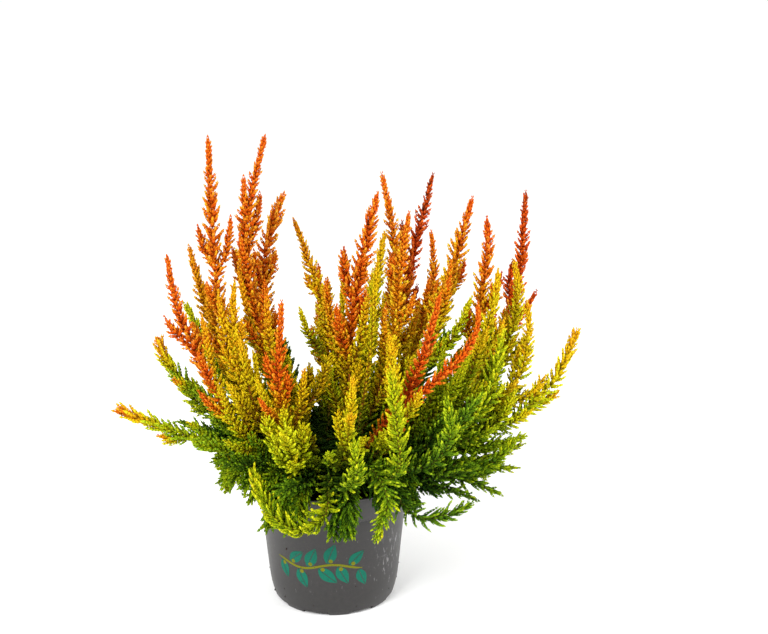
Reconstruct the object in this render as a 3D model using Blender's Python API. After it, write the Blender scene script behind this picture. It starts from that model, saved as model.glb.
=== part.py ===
"""Potted heather: a grower's pot, its compost, the plant's woody crown and its leafy shoots.

Metres, +Z up. The origin is the middle of the pot's underside, on the surface that it stands on.
The front of the plant faces -Y.
"""

import math

import bmesh
import bpy
import numpy as np
from mathutils import Matrix

MM = 0.001

# Pot, in millimetres: a thin thermoformed pot with a flared rim and a ring of feet.
POT_HEIGHT = 84.0
POT_WALL = 0.9
RIM_RADIUS = 54.6
RIM_LIP = 0.8
LIP_HEIGHT = 1.1
LIP_BACK = 0.5
RIM_FOOT_RADIUS = 49.4
RIM_FOOT_HEIGHT = 66.4
STEP_ROUNDING = 1.2
NECK_RADIUS = 45.2
NECK_HEIGHT = 63.0
HEEL_RADIUS = 40.8
HEEL_HEIGHT = 18.0
FOOT_RADIUS = 35.8
HEEL_CURVE = ((1.4, 1.0), (2.2, 3.2), (3.7, 9.0))
FOOT_INNER_RADIUS = 30.0
PAD_RADIUS = 13.0
BASE_RECESS = 2.2
TURN_STEPS = 40

# Drain notches through the foot ring; the first one's angle runs from the front towards +X.
NOTCH_COUNT = 8
NOTCH_WIDTH = 16.0
NOTCH_REACH = 41.0
NOTCH_FIRST_ANGLE = -16.0

# Compost, and the woody crown that the shoots rise from.
PART_GAP = 0.3
COMPOST_TOP = 75.0
COMPOST_EDGE = 73.4
COMPOST_CORNER = 1.0
CROWN_RADIUS = 30.0
CROWN_RISE = 9.0
CROWN_EDGE = 2.0
CROWN_STEPS = 24
CROWN_RINGS = 4
CROWN_CORNER = 1.0

# Shoots: a bare woody foot, a leafy body and a fine tip.
STEM_RADIUS = 1.25
LEAFY_RADIUS = 4.1
TIP_RADIUS = 0.8
BARE_LENGTH = 14.0
SWELL_LENGTH = 26.0
TAPER_SHARE = 0.45
RING_COUNT = 10
ROOT_RISE = 1.6
ROOT_SPACING = 5.2
ROOT_REACH = 26.5
UPRIGHT_ROOT_REACH = 6.0

# Room between the shoots, and between a shoot and the pot's rim.
SHOOT_GAP = 0.5
RIM_CLEARANCE = 2.0
RIM_MARGIN = 12.0
SETTLE_ROUNDS = 260
ROOT_ROUNDS = 200
ROOT_EASING = 0.25
ROUTE_STEPS = 12
TOUCHING = 1e-6

# Points that each shoot passes through after its root, in millimetres, the last one its tip.
FLAME_SHOOTS = (
    ((-40, -16, 118), (-66, -5, 188), (-72, 10, 288)),
    ((-28, -8, 122), (-47, 5, 185), (-51, 12, 232), (-39, 20, 287)),
    ((-38, 24, 150), (-43, 36, 205), (-30, 45, 248)),
    ((-56, -26, 120), (-88, -16, 183), (-96, -10, 221)),
    ((10, -6, 130), (13, 6, 185), (28, 15, 254)),
    ((36, 16, 155), (38, 28, 215), (30, 35, 262)),
    ((38, 40, 150), (49, 55, 200), (63, 70, 255)),
    ((34, 2, 150), (42, 14, 207), (47, 20, 241)),
    ((50, 24, 150), (62, 36, 190), (61, 45, 224)),
    ((54, -2, 150), (70, 10, 195), (85, 20, 250)),
    ((76, -6, 145), (92, 4, 205), (93, 10, 240)),
    ((88, 40, 128), (116, 60, 180), (122, 70, 244)),
    ((36, -38, 122), (52, -45, 160), (64, -40, 206)),
    ((40, -46, 136), (70, -43, 163), (84, -36, 178), (86, -30, 198)),
    ((-40, -28, 99), (-82, -26, 112), (-129, -20, 128)),
    ((-4, 34, 160), (-14, 50, 196), (-26, 60, 228)),
    ((-28, -44, 138), (-27, -37, 201)),
    ((-8, 58, 140), (-12, 92, 190)),
    ((46, 56, 140), (82, 84, 196)),
)
GOLD_SHOOTS = (
    ((-62, 8, 145), (-78, 18, 182), (-88, 25, 219)),
    ((90, 6, 130), (112, 10, 180), (110, 15, 212)),
    ((98, -10, 120), (117, -8, 158), (117, -5, 192)),
    ((70, -14, 102), (124, -8, 132), (142, 0, 154), (149, 4, 172)),
    ((80, -18, 145), (96, -12, 190), (99, -10, 213)),
    ((22, -10, 150), (28, -6, 217)),
    ((10, -62, 120), (15, -76, 168)),
    ((-48, -24, 130), (-57, -18, 175), (-56, -15, 207)),
    ((-66, -8, 122), (-96, -2, 146), (-106, 4, 166)),
    ((-20, -54, 105), (-23, -76, 136)),
    ((38, -50, 130), (35, -42, 183)),
    ((-42, 48, 140), (-66, 80, 204)),
    ((22, 60, 150), (32, 94, 212)),
    ((4, 34, 140), (6, 54, 192)),
)
LIME_SHOOTS = (
    ((34, -66, 104), (39, -74, 130), (35, -70, 172)),
    ((56, -52, 102), (69, -64, 128), (66, -66, 152)),
    ((62, -30, 94), (92, -32, 96), (111, -32, 114)),
    ((30, -44, 96), (48, -66, 80), (70, -62, 79), (84, -56, 84)),
    ((26, -52, 104), (36, -76, 99), (31, -87, 86), (26, -87, 72)),
    ((0, -50, 97), (-3, -69, 80), (-20, -70, 72), (-36, -62, 84), (-46, -54, 104)),
    ((8, -62, 94), (16, -84, 112), (15, -88, 136)),
    ((84, -28, 124), (102, -26, 180)),
    ((-64, 34, 124), (-98, 62, 172)),
    ((78, 40, 108), (112, 62, 156)),
    ((14, 74, 112), (26, 114, 150)),
    ((-72, 12, 108), (-104, 34, 134)),
    ((-36, 56, 98), (-58, 96, 112)),
)
GREEN_SHOOTS = (
    ((-30, 66, 120), (-50, 104, 152)),
    ((52, 70, 112), (76, 100, 142)),
    ((86, 18, 100), (118, 28, 126)),
    ((4, 66, 98), (6, 110, 112)),
    ((-44, -38, 98), (-66, -54, 108)),
    ((-52, 10, 96), (-98, 8, 110)),
    ((-14, -54, 95), (-28, -84, 100)),
    ((52, -46, 96), (88, -58, 106)),
    ((44, 54, 96), (74, 78, 106)),
    ((-22, -20, 120), (-26, -36, 168)),
    ((66, -46, 120), (88, -52, 150)),
)
SHOOT_KINDS = (
    ("flame_shoot", FLAME_SHOOTS, (0.80, 0.22, 0.04)),
    ("gold_shoot", GOLD_SHOOTS, (0.75, 0.45, 0.03)),
    ("lime_shoot", LIME_SHOOTS, (0.40, 0.50, 0.03)),
    ("green_shoot", GREEN_SHOOTS, (0.12, 0.25, 0.03)),
)


def clear_scene():
    for item in list(bpy.data.objects):
        bpy.data.objects.remove(item, do_unlink=True)


def finish(name, colour, roughness):
    """Make a plain non-metal material."""
    material = bpy.data.materials.new(name)
    material.use_nodes = True
    shader = material.node_tree.nodes["Principled BSDF"]
    shader.inputs["Base Color"].default_value = (*colour, 1.0)
    shader.inputs["Roughness"].default_value = roughness
    shader.inputs["Metallic"].default_value = 0.0
    return material


def place(name, data, material, parent, location=(0.0, 0.0, 0.0)):
    item = bpy.data.objects.new(name, data)
    bpy.context.scene.collection.objects.link(item)
    data.materials.append(material)
    item.location = location
    item.parent = parent
    return item


def moved_inwards(profile, depth):
    """Shift an outline that runs outwards and up from the axis by depth, to its inner side."""
    points = np.array(profile)
    steps = np.diff(points, axis=0)
    normals = np.column_stack((-steps[:, 1], steps[:, 0])) / np.hypot(*steps.T)[:, None]
    corner_normals = np.vstack((normals[:1], normals[:-1] + normals[1:], normals[-1:]))
    corner_normals /= np.hypot(*corner_normals.T)[:, None]
    sharpness = np.sum(corner_normals * np.vstack((normals[:1], normals)), axis=1)
    moved = points + depth * corner_normals / sharpness[:, None]
    return [(max(radius, 0.0), height) for radius, height in moved.tolist()]


def turned(name, outline, steps):
    """Spin a closed outline, given as radius and height in millimetres, about the Z axis."""
    mesh = bpy.data.meshes.new(name)
    shape = bmesh.new()
    points = [shape.verts.new((radius * MM, 0.0, height * MM)) for radius, height in outline]
    edges = [shape.edges.new(pair) for pair in zip(points, points[1:])]
    bmesh.ops.spin(
        shape,
        geom=points + edges,
        cent=(0, 0, 0),
        axis=(0, 0, 1),
        angle=math.tau,
        steps=steps,
        use_merge=True,
    )
    bmesh.ops.remove_doubles(shape, verts=shape.verts, dist=0.01 * MM)
    bmesh.ops.recalc_face_normals(shape, faces=shape.faces)
    shape.to_mesh(mesh)
    shape.free()
    mesh.shade_smooth()
    mesh.set_sharp_from_angle(angle=math.radians(35))
    return mesh


def pot_outside():
    """The pot's outer side, from the middle of its underside to the top of its rim."""
    return [
        (0.0, 0.0),
        (PAD_RADIUS, 0.0),
        (PAD_RADIUS + BASE_RECESS, BASE_RECESS),
        (FOOT_INNER_RADIUS - BASE_RECESS, BASE_RECESS),
        (FOOT_INNER_RADIUS, 0.0),
        (FOOT_RADIUS, 0.0),
        *((FOOT_RADIUS + out, height) for out, height in HEEL_CURVE),
        (HEEL_RADIUS, HEEL_HEIGHT),
        (NECK_RADIUS, NECK_HEIGHT),
        (NECK_RADIUS + STEP_ROUNDING, RIM_FOOT_HEIGHT - STEP_ROUNDING),
        (RIM_FOOT_RADIUS - STEP_ROUNDING, RIM_FOOT_HEIGHT - 0.5 * STEP_ROUNDING),
        (RIM_FOOT_RADIUS, RIM_FOOT_HEIGHT + 0.5 * STEP_ROUNDING),
        (RIM_RADIUS - LIP_BACK, POT_HEIGHT - 1.5 * LIP_HEIGHT),
    ]


def pot_lip():
    """The rolled lip round the pot's mouth, from its outer edge over to the inner side."""
    return [
        (RIM_RADIUS + RIM_LIP, POT_HEIGHT - LIP_HEIGHT),
        (RIM_RADIUS + RIM_LIP, POT_HEIGHT),
        (RIM_RADIUS - LIP_BACK, POT_HEIGHT),
    ]


def make_pot(parent):
    outline = pot_outside() + pot_lip() + moved_inwards(pot_outside(), POT_WALL)[::-1]
    plastic = finish("pot_plastic", (0.12, 0.11, 0.105), 0.5)
    pot = place("pot", turned("pot", outline, TURN_STEPS), plastic, parent)
    cut = pot.modifiers.new("drain_notches", "BOOLEAN")
    cut.operation = "DIFFERENCE"
    cut.solver = "EXACT"
    cut.object = drain_notch_cutters()


def drain_notch_cutters():
    middle = 0.5 * (FOOT_INNER_RADIUS + NOTCH_REACH)
    depth = NOTCH_REACH - FOOT_INNER_RADIUS
    mesh = bpy.data.meshes.new("drain_notch_cutters")
    shape = bmesh.new()
    for index in range(NOTCH_COUNT):
        angle = math.radians(NOTCH_FIRST_ANGLE + 360.0 / NOTCH_COUNT * index)
        block = bmesh.ops.create_cube(shape, size=MM)["verts"]
        bmesh.ops.scale(shape, verts=block, vec=(NOTCH_WIDTH, depth, 2.0 * BASE_RECESS))
        bmesh.ops.translate(shape, verts=block, vec=(0.0, -middle * MM, 0.0))
        bmesh.ops.rotate(shape, verts=block, cent=(0, 0, 0), matrix=Matrix.Rotation(angle, 3, "Z"))
    shape.to_mesh(mesh)
    shape.free()
    cutters = bpy.data.objects.new("drain_notch_cutters", mesh)
    bpy.context.scene.collection.objects.link(cutters)
    cutters.hide_render = True
    cutters.display_type = "WIRE"
    return cutters


def rim_flare():
    """How far the rim leans out for each unit of height."""
    (low_radius, low_height), (high_radius, high_height) = pot_outside()[-2:]
    return (high_radius - low_radius) / (high_height - low_height)


def make_compost(parent):
    """A plug that fills the pot below its rim, standing clear of the wall by the gap."""
    lining = moved_inwards(pot_outside(), POT_WALL + PART_GAP)
    floor = BASE_RECESS + POT_WALL + PART_GAP
    side = [(radius, height) for radius, height in lining if floor < height < COMPOST_EDGE]
    (heel_radius, _), (rim_radius, rim_height) = side[0], side[-1]
    edge_radius = rim_radius + (COMPOST_EDGE - rim_height) * rim_flare()
    outline = [(0.0, floor), (heel_radius - COMPOST_CORNER, floor)] + side
    outline += [(edge_radius, COMPOST_EDGE), (CROWN_RADIUS + COMPOST_CORNER, COMPOST_TOP), (0.0, COMPOST_TOP)]
    peat = finish("peat", (0.02, 0.012, 0.008), 0.95)
    place("compost", turned("compost", outline, TURN_STEPS), peat, parent)


def crown_height(radius):
    """Height of the crown's domed top at a distance from its middle."""
    fall = (radius / CROWN_RADIUS) ** 2
    return COMPOST_TOP + PART_GAP + CROWN_RISE - (CROWN_RISE - CROWN_EDGE) * fall


def make_crown(parent):
    rings = [CROWN_RADIUS * (1.0 - index / CROWN_RINGS) for index in range(CROWN_RINGS + 1)]
    floor = COMPOST_TOP + PART_GAP
    outline = [(0.0, floor), (CROWN_RADIUS - CROWN_CORNER, floor)]
    outline += [(radius, crown_height(radius)) for radius in rings]
    wood = finish("heather_wood", (0.10, 0.05, 0.03), 0.85)
    place("woody_crown", turned("woody_crown", outline, CROWN_STEPS), wood, parent)


def shoot_roots(routes):
    """Stand every shoot's root on the crown, on the side that the shoot leans to, and space them."""
    tips = np.array([route[-1] for route in routes], dtype=float)
    first = np.array([route[0] for route in routes], dtype=float)[:, :2]
    lean = np.hypot(*tips[:, :2].T) / (tips[:, 2] - COMPOST_TOP)
    reach = UPRIGHT_ROOT_REACH + (ROOT_REACH - UPRIGHT_ROOT_REACH) * np.clip(lean, 0.0, 1.0)
    roots = first / np.hypot(*first.T)[:, None] * reach[:, None]
    for _ in range(ROOT_ROUNDS):
        apart = roots[:, None] - roots[None]
        distance = np.hypot(apart[..., 0], apart[..., 1]) + np.eye(len(roots)) * ROOT_SPACING
        lacking = np.clip(ROOT_SPACING - distance, 0.0, None)
        roots = roots + ROOT_EASING * np.sum(apart / distance[..., None] * lacking[..., None], axis=1)
        roots *= np.minimum(1.0, ROOT_REACH / np.hypot(*roots.T))[:, None]
    heights = crown_height(np.hypot(*roots.T)) + ROOT_RISE
    return np.column_stack((roots, heights))


def smooth_route(points):
    """Run a Catmull-Rom curve through the points, and read it at evenly spaced rings."""
    points = np.array(points, dtype=float)
    ends = (2.0 * points[0] - points[1], 2.0 * points[-1] - points[-2])
    guides = np.vstack((ends[0], points, ends[1]))
    share = np.linspace(0.0, 1.0, ROUTE_STEPS, endpoint=False)[:, None]
    fine = []
    for before, here, after, beyond in zip(guides, guides[1:], guides[2:], guides[3:]):
        linear = after - before
        square = 2.0 * before - 5.0 * here + 4.0 * after - beyond
        cube = 3.0 * here - before - 3.0 * after + beyond
        fine.append(here + 0.5 * (linear * share + square * share**2 + cube * share**3))
    fine = np.vstack(fine + [points[-1:]])
    along = np.concatenate(([0.0], np.cumsum(np.linalg.norm(np.diff(fine, axis=0), axis=1))))
    marks = np.linspace(0.0, along[-1], RING_COUNT)
    return np.column_stack([np.interp(marks, along, fine[:, axis]) for axis in range(3)])


def ring_radii(route):
    """The bare foot swells to the leafy body, which thins again towards the tip."""
    steps = np.linalg.norm(np.diff(route, axis=0), axis=1)
    along = np.concatenate(([0.0], np.cumsum(steps)))
    swell = np.clip((along - BARE_LENGTH) / SWELL_LENGTH, 0.0, 1.0)
    taper = np.clip((along[-1] - along) / (along[-1] * TAPER_SHARE), 0.0, 1.0)
    leafy = TIP_RADIUS + (LEAFY_RADIUS - TIP_RADIUS) * np.sqrt(taper)
    return STEM_RADIUS * (1.0 - swell) + leafy * swell


def closest_shares(start_a, along_a, start_b, along_b):
    """How far along each of two sets of segments their closest points lie, from 0 to 1."""
    offset = start_a - start_b
    aa = np.sum(along_a * along_a, axis=1)
    bb = np.sum(along_b * along_b, axis=1)
    ab = np.sum(along_a * along_b, axis=1)
    ao = np.sum(along_a * offset, axis=1)
    bo = np.sum(along_b * offset, axis=1)
    share_a = np.clip((ab * bo - ao * bb) / np.maximum(aa * bb - ab * ab, TOUCHING), 0.0, 1.0)
    share_b = np.clip((ab * share_a + bo) / bb, 0.0, 1.0)
    share_a = np.clip((ab * share_b - ao) / aa, 0.0, 1.0)
    return share_a, share_b


def clear_of_rim(routes, radii):
    """Lift the rings of a shoot that cross the pot's rim until they pass above it."""
    reach = np.hypot(routes[..., 0], routes[..., 1])
    outside = RIM_RADIUS + RIM_LIP + radii + RIM_CLEARANCE
    over_rim = (reach < outside) & (reach > RIM_FOOT_RADIUS - RIM_MARGIN)
    lowest = POT_HEIGHT + radii + RIM_CLEARANCE
    routes[..., 2] = np.where(over_rim, np.maximum(routes[..., 2], lowest), routes[..., 2])
    return routes


def settle(routes):
    """Ease crossing shoots apart, a little each round, until every pair has its gap."""
    routes = np.array(routes)
    radii = np.array([ring_radii(route) for route in routes])
    shoot, ring = np.meshgrid(range(len(routes)), range(RING_COUNT - 1), indexing="ij")
    shoot, ring = shoot.ravel(), ring.ravel()
    one, other = np.triu_indices(len(shoot), 1)
    apart = shoot[one] != shoot[other]
    one, other = one[apart], other[apart]
    starts_radii = radii[shoot, ring]
    steps_radii = radii[shoot, ring + 1] - starts_radii
    for _ in range(SETTLE_ROUNDS):
        starts = routes[shoot, ring]
        steps = routes[shoot, ring + 1] - starts
        share_one, share_other = closest_shares(starts[one], steps[one], starts[other], steps[other])
        near_one = starts[one] + steps[one] * share_one[:, None]
        near_other = starts[other] + steps[other] * share_other[:, None]
        between = near_one - near_other
        distance = np.maximum(np.linalg.norm(between, axis=1), TOUCHING)
        radius_one = starts_radii[one] + steps_radii[one] * share_one
        radius_other = starts_radii[other] + steps_radii[other] * share_other
        lacking = radius_one + radius_other + SHOOT_GAP - distance
        close = lacking > 0.0
        if not close.any():
            break
        push = between[close] / distance[close, None] * lacking[close, None] * 0.5
        moves = np.zeros_like(routes)
        for pieces, shares, sign in ((one, share_one, 1.0), (other, share_other, -1.0)):
            piece = pieces[close]
            share = shares[close, None]
            np.add.at(moves, (shoot[piece], ring[piece]), sign * push * (1.0 - share))
            np.add.at(moves, (shoot[piece], ring[piece] + 1), sign * push * share)
        for _ in range(2):
            moves[:, 1:-1] = 0.5 * moves[:, 1:-1] + 0.25 * (moves[:, :-2] + moves[:, 2:])
        moves[:, 0] = 0.0
        routes = clear_of_rim(routes + moves, radii)
    return routes, radii


def make_shoot(name, route, radii, material, parent):
    """A round tapered solid along the route: the space that the shoot's leaves fill."""
    curve = bpy.data.curves.new(name, "CURVE")
    curve.dimensions = "3D"
    curve.bevel_depth = MM
    curve.bevel_resolution = 1
    curve.use_fill_caps = True
    spline = curve.splines.new("POLY")
    spline.points.add(len(route) - 1)
    for point, place_mm, radius in zip(spline.points, route - route[0], radii):
        point.co = (*(place_mm * MM), 1.0)
        point.radius = radius
    place(name, curve, material, parent, route[0] * MM)


def make_shoots(parent):
    targets = [route for _, kind, _ in SHOOT_KINDS for route in kind]
    roots = shoot_roots(targets)
    routes, radii = settle([smooth_route([root, *route]) for root, route in zip(roots, targets)])
    made = 0
    for kind, targets_of_kind, colour in SHOOT_KINDS:
        material = finish(kind + "_leaves", colour, 0.6)
        for number in range(1, len(targets_of_kind) + 1):
            make_shoot(f"{kind}_{number:02d}", routes[made], radii[made], material, parent)
            made += 1


def main():
    clear_scene()
    heather = bpy.data.objects.new("potted_heather", None)
    bpy.context.scene.collection.objects.link(heather)
    make_pot(heather)
    make_compost(heather)
    make_crown(heather)
    make_shoots(heather)


main()
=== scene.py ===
"""Looks of a potted heather: leafy shoots, woody crown, peat compost and a printed plastic pot.

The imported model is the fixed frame. Lengths here are in millimetres until a mesh is made.
"""

import math

import bmesh
import bpy
import numpy as np
from mathutils import Matrix, Vector


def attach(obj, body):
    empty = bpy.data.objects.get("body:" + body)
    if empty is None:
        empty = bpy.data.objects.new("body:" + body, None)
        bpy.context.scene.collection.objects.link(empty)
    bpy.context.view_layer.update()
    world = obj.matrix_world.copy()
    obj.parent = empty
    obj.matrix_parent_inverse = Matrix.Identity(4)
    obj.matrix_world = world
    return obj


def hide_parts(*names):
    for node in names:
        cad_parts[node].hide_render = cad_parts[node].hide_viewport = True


MM = 0.001
SEED = 20
TINY = 1e-9
UP = np.array((0.0, 0.0, 1.0))

# Camera, as the photograph was taken.
CAMERA_PLACE = (0.0316, -0.820, 0.418)
CAMERA_PITCH_DEG = 16.2
CAMERA_LENS = 66.5
CAMERA_SENSOR = 36.0

# Studio: the floor's half width in metres, the white surround's strength, and each lamp's place, width and
# power.
FLOOR_REACH = 60.0
SURROUND = 1.03
LAMPS = {"front_lamp": ((-0.7, -1.2, 1.3), 0.7, 26.0), "right_lamp": ((1.2, -0.5, 0.9), 0.7, 12.0)}
LAMP_AIM = Vector((0.0, 0.0, 0.12))

# Spines of the shoots, read from the frame's nodes.
ROOT_RING_SPAN = 3.0
PATH_STEP = 1.0
CURVE_STEPS = 14

# Pot, the same sizes as the solid.
POT_HEIGHT = 84.0
POT_WALL = 0.9
RIM_RADIUS = 54.6
RIM_LIP = 0.8
LIP_HEIGHT = 1.1
LIP_BACK = 0.5
RIM_FOOT_RADIUS = 49.4
RIM_FOOT_HEIGHT = 66.4
STEP_ROUNDING = 1.2
NECK_RADIUS = 45.2
NECK_HEIGHT = 63.0
HEEL_RADIUS = 40.8
HEEL_HEIGHT = 18.0
FOOT_RADIUS = 35.8
HEEL_CURVE = ((0.7, 0.25), (1.4, 1.0), (2.2, 3.2), (3.0, 6.0), (3.7, 9.0), (4.4, 13.0))
FOOT_INNER_RADIUS = 30.0
PAD_RADIUS = 13.0
BASE_RECESS = 2.2
POT_STEPS = 144
LIP_STEPS = 8
LIP_START = 0.4
CRISP_ANGLE = math.radians(35)
NOTCH_COUNT = 8
NOTCH_WIDTH = 16.0
NOTCH_REACH = 41.0
NOTCH_FIRST_ANGLE = -16.0

# Wear on the pot: where it is rubbed and how far round that, and the heights of a band of painted shade under
# the rim's step.
RUBBED_PLACE = (37.0 * MM, -24.0 * MM, 36.0 * MM)
RUBBED_REACH = (6.0 * MM, 24.0 * MM)
RIM_STEP_SHADE_HEIGHT = (56.0 * MM, 70.0 * MM)
SPECKS = 36

# Print on the pot, a vine border: bearing of its middle in degrees, then sizes along and up the wall.
VINE_BEARING = -102.0
VINE_LENGTH = 56.0
VINE_HEIGHT = 35.0
VINE_WAVE = 40.0
VINE_SWING = 1.9
VINE_STEM = 1.5
VINE_LEAVES = 9
VINE_LEAF = 15.0
VINE_LEAN = 58.0
VINE_STALK = 1.2
VINE_RIB = 0.22
VINE_BELLY = 0.27
VINE_BERRY = 1.3
INK_THICKNESS = 0.07

# Compost and crown.
COMPOST_TOP = 75.0
COMPOST_EDGE = 73.4
COMPOST_REACH = 48.5
CRUMBS = 700
CROWN_RADIUS = 30.0
CROWN_RISE = 9.0
CROWN_EDGE = 2.0
CROWN_RINGS = 20
CROWN_STEPS = 72
CROWN_KNUCKLES = 26
KNUCKLE_REACH = 4.0
KNUCKLE_RISE = 1.4
CROWN_FOLD = 0.35
CROWN_FOLDS = 9.0

# One sprig: a short side shoot, closely set with crossed pairs of scale leaves. Leaves open in degrees.
PAIR_SPACING = 1.8
PAIR_TURN = math.radians(97.0)
MOST_PAIRS = 6
LEAF_LENGTH = 3.3
LEAF_WIDTH = 2.15
LEAF_THICKNESS = 1.05
LEAF_BELLY = 0.22
LEAF_SINK = 0.1
LEAF_OPENING = 14.0
LEAF_CLOSING = 9.0
LEAF_FACES = np.array(((0, 2, 1), (3, 2, 0), (3, 1, 2), (3, 0, 1)))
FULL_SPRIG = 6.0
SPRIG_CORE = 1.8
CORE_BELLY = 0.25
CORE_FACES = np.array(((0, 1, 3), (0, 3, 2), (0, 2, 1), (4, 3, 1), (4, 2, 3), (4, 1, 2)))

# Stems, and the leaves that sit on them.
TUBE_STRIDE = 3
TUBE_SIDES = 5
TUBE_TAPER = 0.72
SPINE_RADIUS = 1.1
SPINE_BARE = 5.0
BRANCH_RADIUS = 0.6
BRANCH_BARE = 2.0
STEM_LEAF_SPACING = 1.6
STEM_LEAF_WIDTH = 2.2
STEM_LEAF_THICKNESS = 1.1

# How sprigs change along a branch: the first one's distance from the tip, the span over which they stand
# closer and the least step there, then the spans from foot and tip over which they are shorter and steeper.
FIRST_SPRIG = 4.0
CROWDED_SPAN = 60.0
CROWDED_STEP = 1.8
FOOT_SPAN = 16.0
FOOT_SHARE = 0.75
STEEP_SPAN = 45.0
STEEP_SHARE = 0.62
END_BEND = 0.6

# Side branches: the share of the spine where they start and over which they spread, the share of it that
# their number is counted on, the spine above one that gives it full length, and their sprigs' shorter size.
BRANCH_FOOT = 0.12
BRANCH_ZONE = 0.58
BRANCH_COUNT_SHARE = 0.62
BRANCH_ROOM = 70.0
BRANCH_SPRIG = 0.85

# The leaves' map: ripeness runs along it and depth up it, from painted shade near the stem to pale tips
# with a painted highlight, with bark under LEAF_TONE. MAP_SPREAD keeps every face some width on it, and
# MAP_EDGES keeps it inside.
MAP_EDGES = (0.002, 0.998)
MAP_SPREAD = 0.012
BARK_TONE = 0.02
LEAF_TONE = 0.13

# How a kind of shoot grows: sprig length, spacing of sprig pairs, angle to the stem, distance between side
# branches, their length, how strongly sprigs turn up, how far from the tip they shorten, their thickness,
# how much riper their tips are than their feet, whether most of them lie in one plane, the share of the
# stem that leaves cover, how long sprigs still are at the tip, and how little light the shoot gets.
HABITS = {
    "flame_shoot": dict(sprig=7.0, spacing=2.3, spread=58.0, gap=15.0, reach=36.0, lift=0.12, taper=55.0,
                        girth=1.08, blush=-0.2, flat=False, clad=0.5, tip=0.42, dim=0.0),
    "gold_shoot": dict(sprig=7.8, spacing=2.7, spread=58.0, gap=13.0, reach=36.0, lift=0.14, taper=55.0,
                       girth=1.02, blush=-0.05, flat=False, clad=0.5, tip=0.5, dim=0.0),
    "lime_shoot": dict(sprig=9.6, spacing=3.3, spread=60.0, gap=11.0, reach=32.0, lift=0.2, taper=40.0,
                       girth=0.92, blush=0.1, flat=True, clad=0.6, tip=0.48, dim=0.0),
    "green_shoot": dict(sprig=9.6, spacing=3.4, spread=60.0, gap=13.0, reach=34.0, lift=0.2, taper=35.0,
                        girth=0.92, blush=0.08, flat=True, clad=0.6, tip=0.55, dim=0.3),
}

# Shoots whose habit differs from the rest of their kind.
ODD_HABITS = {
    "flame_shoot_03": dict(sprig=8.2, taper=30.0, dim=-0.25),
    "flame_shoot_05": dict(sprig=8.6, taper=40.0),
    "flame_shoot_06": dict(dim=-0.2),
    "flame_shoot_07": dict(blush=-0.03),
    "flame_shoot_08": dict(dim=-0.2),
    "flame_shoot_10": dict(sprig=8.2, taper=45.0),
    "flame_shoot_11": dict(sprig=8.0, taper=45.0),
    "flame_shoot_12": dict(blush=-0.03),
    "flame_shoot_13": dict(sprig=6.8, gap=200.0),
    "flame_shoot_14": dict(sprig=5.8, gap=200.0),
    "flame_shoot_15": dict(sprig=7.6, spread=46.0, taper=12.0, tip=0.5),
    "gold_shoot_04": dict(taper=36.0, tip=0.62),
    "gold_shoot_06": dict(sprig=5.0, gap=200.0, girth=0.85, clad=0.95, dim=0.25),
    "gold_shoot_09": dict(spread=46.0, taper=12.0, tip=0.5),
    "gold_shoot_10": dict(sprig=9.0, gap=10.0, taper=20.0, girth=1.08, tip=0.6),
    "lime_shoot_01": dict(sprig=10.6, spacing=3.5, gap=60.0, taper=55.0, clad=0.8),
    "lime_shoot_02": dict(sprig=10.6, spacing=3.6, gap=60.0, taper=45.0, clad=0.8),
    "lime_shoot_03": dict(dim=0.2),
    "lime_shoot_04": dict(sprig=10.0, spacing=3.0, gap=200.0, lift=0.3, girth=0.75, flat=False),
    "lime_shoot_05": dict(sprig=9.5, spacing=2.9, gap=200.0, lift=0.3, girth=0.85, clad=0.9),
    "lime_shoot_06": dict(sprig=12.0, spacing=2.2, gap=200.0, lift=1.1, girth=0.95, flat=False, clad=0.95),
    "lime_shoot_07": dict(sprig=9.0, spacing=3.2, gap=200.0, taper=35.0, clad=0.9),
    "green_shoot_08": dict(dim=0.5),
    "green_shoot_11": dict(dim=0.0),
}

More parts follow.
